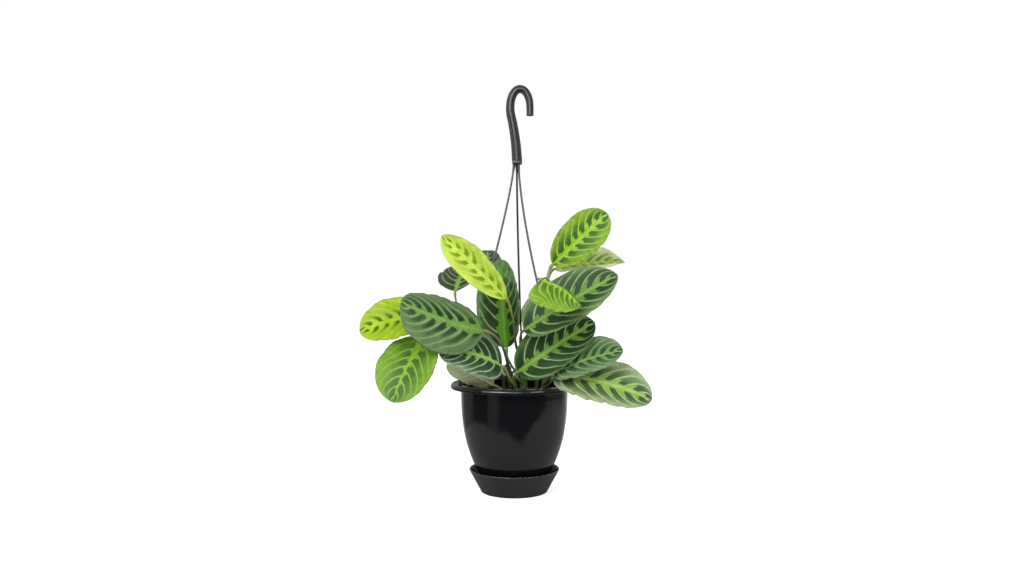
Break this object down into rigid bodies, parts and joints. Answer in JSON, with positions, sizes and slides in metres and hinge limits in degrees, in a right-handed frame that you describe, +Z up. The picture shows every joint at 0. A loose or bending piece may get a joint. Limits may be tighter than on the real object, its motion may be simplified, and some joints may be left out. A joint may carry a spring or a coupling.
{
  "type": "potted prayer plant maranta in a hanging pot",
  "caption": "Prayer plant with lime-veined oval leaves in a black hanging pot with a rolled lip, a saucer and a hook hanger on thin rods.",
  "frame": {"origin": "middle of the saucer's underside, on the pot's axis", "axes": "+Z up the pot's axis to the hook, -Y to the plant's show side, +X to the right seen from there"},
  "size_m": [0.3414, 0.2693, 0.5085],
  "materials": {
    "pot_plastic": "polished moulded plastic, gloss black",
    "saucer_plastic": "fine satin moulded plastic, black",
    "hanger_plastic": "satin moulded plastic, dark grey",
    "soil": "loose moist potting mix",
    "stalk": "smooth green stalks, browner below",
    "mature_leaf": "soft satin leaf, dark blotches between pale veins",
    "young_leaf": "soft satin leaf, lime with dark flecks"
  },
  "bodies": {
    "root": {"saucer": "saucer_plastic", "pot": "pot_plastic", "soil": "soil", "hook": "hanger_plastic", "rod_1": "hanger_plastic", "rod_2": "hanger_plastic", "rod_3": "hanger_plastic", "shoot_front": "stalk", "shoot_left": "stalk", "shoot_centre": "stalk", "shoot_right": "stalk", "shoot_back_left": "stalk", "shoot_back": "stalk", "shoot_back_right": "stalk", "leaf_01": "young_leaf", "leaf_02": "mature_leaf", "leaf_03": "mature_leaf", "leaf_04": "mature_leaf", "leaf_05": "mature_leaf", "leaf_06": "young_leaf", "leaf_07": "young_leaf", "leaf_08": "mature_leaf", "leaf_09": "mature_leaf", "leaf_10": "young_leaf", "leaf_11": "mature_leaf", "leaf_12": "mature_leaf", "leaf_13": "young_leaf", "leaf_14": "mature_leaf", "leaf_15": "mature_leaf", "leaf_16": "mature_leaf", "leaf_17": "mature_leaf", "leaf_18": "mature_leaf", "leaf_19": "mature_leaf", "leaf_20": "mature_leaf", "leaf_21": "mature_leaf", "leaf_22": "mature_leaf", "leaf_23": "mature_leaf", "leaf_24": "mature_leaf", "leaf_25": "mature_leaf", "leaf_26": "mature_leaf", "leaf_27": "mature_leaf", "leaf_28": "mature_leaf", "leaf_29": "mature_leaf"}
  },
  "joints": []
}
